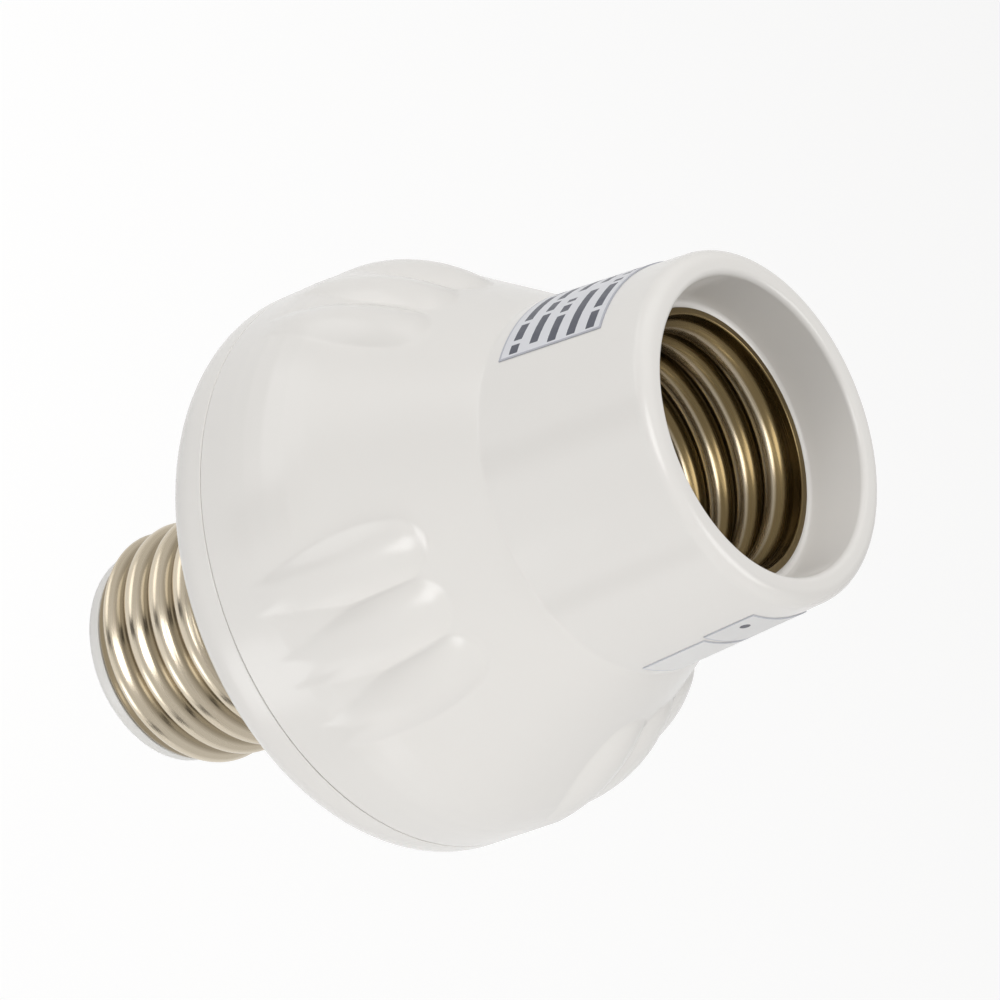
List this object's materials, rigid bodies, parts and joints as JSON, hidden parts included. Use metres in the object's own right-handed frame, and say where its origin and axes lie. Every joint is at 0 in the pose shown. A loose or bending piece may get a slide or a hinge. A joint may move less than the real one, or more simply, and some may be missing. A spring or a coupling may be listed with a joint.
{
  "type": "smart lamp holder",
  "caption": "Screw-in lamp holder with a screw cap below, a round ribbed housing for switching electronics, and a tapered neck with a screw shell for a lamp.",
  "frame": {"origin": "on the axis, where the collar of the screw cap meets the rear cover", "axes": "+Z along the axis from the cap to the mouth, +X towards the side seen in the picture"},
  "size_m": [0.0606, 0.0606, 0.0866],
  "materials": {
    "housing_plastic": "glossy off-white moulding",
    "nickel_plate": "bright nickel plate on drawn brass",
    "insulator_plastic": "white moulded insulator",
    "base_plastic": "heat-proof moulded plastic",
    "solder": "tinned contact",
    "contact_brass": "plain brass",
    "spring_steel": "drawn spring wire",
    "board_laminate": "green coated laminate",
    "black_case": "black moulding compound",
    "blue_case": "blue epoxy and case plastic",
    "yellow_case": "yellow case plastic",
    "green_sleeve": "green lacquered body",
    "winding_copper": "enamelled copper winding",
    "tin_shield": "stamped tin-plated lid",
    "live_wire_sleeve": "brown insulated wire",
    "neutral_wire_sleeve": "blue insulated wire",
    "silver_label": "silver-grey printed film",
    "white_label": "white paper sticker"
  },
  "bodies": {
    "housing": {"rear_cover": "housing_plastic", "front_shell": "housing_plastic", "cap_shell": "nickel_plate", "cap_insulator": "insulator_plastic", "cap_contact": "solder", "socket_shell": "nickel_plate", "socket_base": "base_plastic", "contact_spring": "spring_steel", "centre_terminal": "contact_brass", "neutral_terminal": "contact_brass", "circuit_board": "board_laminate", "relay": "blue_case", "film_capacitor": "yellow_case", "electrolytic_capacitor": "black_case", "varistor": "blue_case", "bridge_rectifier": "black_case", "power_chip": "black_case", "fusible_resistor": "green_sleeve", "choke": "winding_copper", "radio_module": "board_laminate", "radio_shield": "tin_shield", "wire_live_in": "live_wire_sleeve", "wire_neutral_in": "neutral_wire_sleeve", "wire_switched_live": "live_wire_sleeve", "wire_neutral_out": "neutral_wire_sleeve", "rating_label": "silver_label", "blank_sticker": "white_label", "seal_sticker": "white_label"},
    "plunger": {"centre_contact": "contact_brass", "retaining_ring": "spring_steel"}
  },
  "joints": [
    {"name": "contact_slide", "type": "slide", "parent": "housing", "child": "plunger", "axis": [0, 0, 1], "range_m": [-0.0015, 0], "stiffness_N_per_m": 1000, "springref_m": 0.002, "deforming": ["contact_spring"]}
  ]
}
